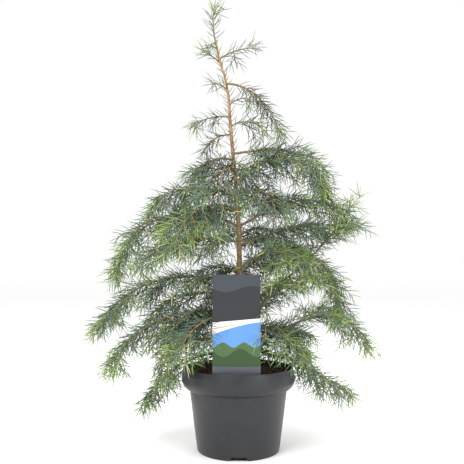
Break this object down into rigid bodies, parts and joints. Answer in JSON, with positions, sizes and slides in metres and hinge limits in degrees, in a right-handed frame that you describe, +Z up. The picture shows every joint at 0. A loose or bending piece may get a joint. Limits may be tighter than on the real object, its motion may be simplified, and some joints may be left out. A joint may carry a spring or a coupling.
{
  "type": "potted deodar cedar",
  "caption": "A young deodar cedar with a leaning leader and drooping boughs, in a round charcoal nursery pot with a plain picture card standing in the soil.",
  "frame": {"origin": "the middle of the pot's flat underside, on the surface it stands on", "axes": "+Z up the trunk, +X to the right of the front view, -Y towards the front, where the card stands"},
  "size_m": [0.6378, 0.4812, 0.9955],
  "materials": {
    "pot_plastic": "moulded charcoal plastic, satin, with a soft sheen on the collar",
    "potting_mix": "dark crumbly bark and peat",
    "printed_card": "thin printed plastic card, slate grey with a white band and a plain landscape",
    "bark": "brown-grey ridged young bark",
    "needles": "blue-green needles with fresh yellow-green tips"
  },
  "bodies": {
    "root": {"pot": "pot_plastic", "soil": "potting_mix", "card": "printed_card", "trunk": "bark", "bough_back_left": "bark", "bough_back_middle": "bark", "bough_back_right": "bark", "bough_left_foot": "bark", "bough_left_front": "bark", "bough_left_long": "bark", "bough_left_low": "bark", "bough_left_wide": "bark", "bough_right_arch": "bark", "bough_right_foot": "bark", "bough_right_long": "bark", "bough_right_low": "bark", "bough_right_shoulder": "bark", "bough_right_upswept": "bark", "bough_right_weeping": "bark", "foliage_back_high": "needles", "foliage_back_left": "needles", "foliage_back_low_left": "needles", "foliage_back_low_right": "needles", "foliage_back_middle": "needles", "foliage_back_right": "needles", "foliage_front_high": "needles", "foliage_front_left": "needles", "foliage_front_low_left": "needles", "foliage_front_low_right": "needles", "foliage_front_right": "needles", "foliage_leader": "needles", "foliage_left_arch": "needles", "foliage_left_back": "needles", "foliage_left_fill": "needles", "foliage_left_foot": "needles", "foliage_left_front": "needles", "foliage_left_long": "needles", "foliage_left_low": "needles", "foliage_left_shoulder": "needles", "foliage_left_wide": "needles", "foliage_right_arch": "needles", "foliage_right_back": "needles", "foliage_right_fill": "needles", "foliage_right_foot": "needles", "foliage_right_front": "needles", "foliage_right_long": "needles", "foliage_right_low": "needles", "foliage_right_shoulder": "needles", "foliage_right_top": "needles", "foliage_right_upswept": "needles", "foliage_right_weeping": "needles", "foliage_shoot_left_leader": "needles", "foliage_shoot_left_lower": "needles", "foliage_shoot_left_middle": "needles", "foliage_shoot_left_top": "needles", "foliage_shoot_left_upper": "needles", "foliage_shoot_right_cluster": "needles", "foliage_shoot_right_middle": "needles", "foliage_shoot_right_top": "needles"}
  },
  "joints": []
}
